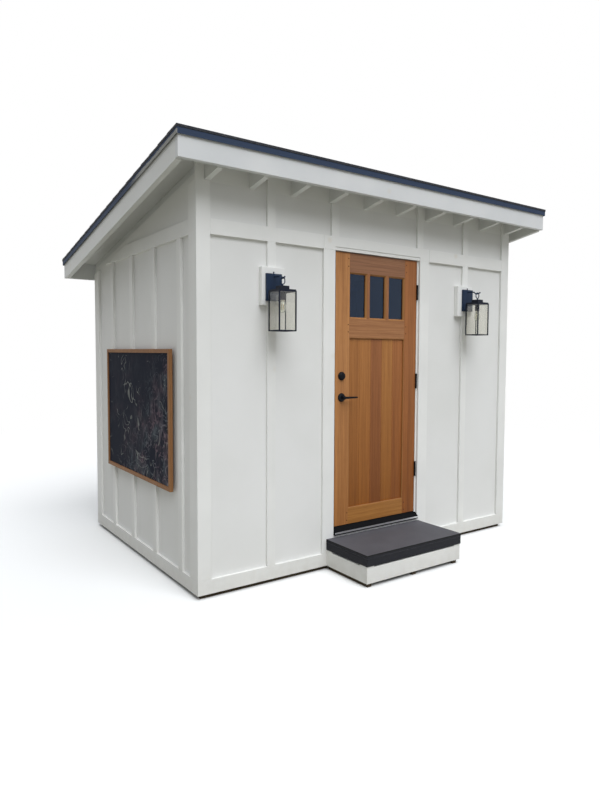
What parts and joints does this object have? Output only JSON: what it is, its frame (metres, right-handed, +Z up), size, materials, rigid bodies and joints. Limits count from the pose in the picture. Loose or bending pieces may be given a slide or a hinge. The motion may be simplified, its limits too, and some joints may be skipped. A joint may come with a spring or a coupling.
{
  "type": "garden office pod",
  "caption": "Small single-slope garden office pod with white board-and-batten walls, half-glazed plank door, lanterns, step and a blackboard on the side",
  "frame": {"origin": "on the ground, under the middle of the walls' footprint", "axes": "+X to the right along the front as seen from outside, +Y from the front to the back, +Z up; the front with the door faces -Y"},
  "size_m": [3.493, 2.858, 2.8918],
  "materials": {
    "lining_paint": "painted lining boards inside",
    "bright_metal": "mill-finish aluminium nosing",
    "wall_paint": "satin white exterior paint on siding",
    "trim_paint": "satin white exterior paint on trim",
    "eave_paint": "white paint, rafters and blocks",
    "treated_wood": "pressure-treated, rough sawn",
    "framing_wood": "bare softwood and plywood",
    "floor_wood": "clear-finished boards",
    "door_wood": "clear-finished hardwood, satin",
    "frame_wood": "oiled softwood",
    "chalkboard": "matte blackboard paint, chalk dust",
    "shingle": "mineral-faced asphalt, rough matte",
    "dark_metal": "baked dark coating",
    "sill_bronze": "dark anodised sill",
    "step_paint": "charcoal deck paint, worn satin",
    "black_metal": "matte black powder coat",
    "clear_glass": "clear",
    "bulb_glass": "clear bulb with warm base"
  },
  "bodies": {
    "body": {"skids": "treated_wood", "floor_joists": "framing_wood", "rim_joists": "framing_wood", "floor_boards": "floor_wood", "front_wall": "lining_paint", "front_wall_head": "lining_paint", "side_walls": "lining_paint", "back_wall": "lining_paint", "front_siding": "wall_paint", "door_bay_siding": "wall_paint", "side_siding": "wall_paint", "back_siding": "wall_paint", "skirt_boards": "trim_paint", "corner_boards": "trim_paint", "belt_boards": "trim_paint", "battens": "trim_paint", "door_casings": "trim_paint", "door_jambs": "trim_paint", "door_head": "trim_paint", "threshold": "sill_bronze", "sill_nose": "bright_metal", "rafters": "eave_paint", "frieze_blocks": "eave_paint", "roof_boards": "eave_paint", "shingles": "shingle", "drip_edge": "dark_metal", "fascia_boards": "trim_paint", "rake_boards": "trim_paint", "step_frame": "treated_wood", "step_base": "trim_paint", "step_cap": "step_paint", "lantern_blocks": "trim_paint", "lantern_brackets": "black_metal", "lantern_cages": "black_metal", "lantern_glass": "clear_glass", "lantern_bulbs": "bulb_glass", "chalkboard_frame": "frame_wood", "chalkboard_panel": "chalkboard", "hinge_frame_leaves": "black_metal"},
    "door": {"door_leaf": "door_wood", "door_panel": "door_wood", "door_glass": "clear_glass", "hinge_door_leaves": "black_metal", "deadbolt": "black_metal", "lever_roses": "black_metal"},
    "lever": {"lever_handles": "black_metal"}
  },
  "joints": [
    {"name": "door_swing", "type": "hinge", "parent": "body", "child": "door", "pos_m": [0.3955, -1.068, 1.35], "axis": [0, 0, 1], "range_deg": [0, 140]},
    {"name": "lever_turn", "type": "hinge", "parent": "door", "child": "lever", "pos_m": [-0.365, -1.061, 1.268], "axis": [0, 1, 0], "range_deg": [0, 45], "stiffness_Nm_per_rad": 1.2, "springref_deg": -40.11}
  ]
}
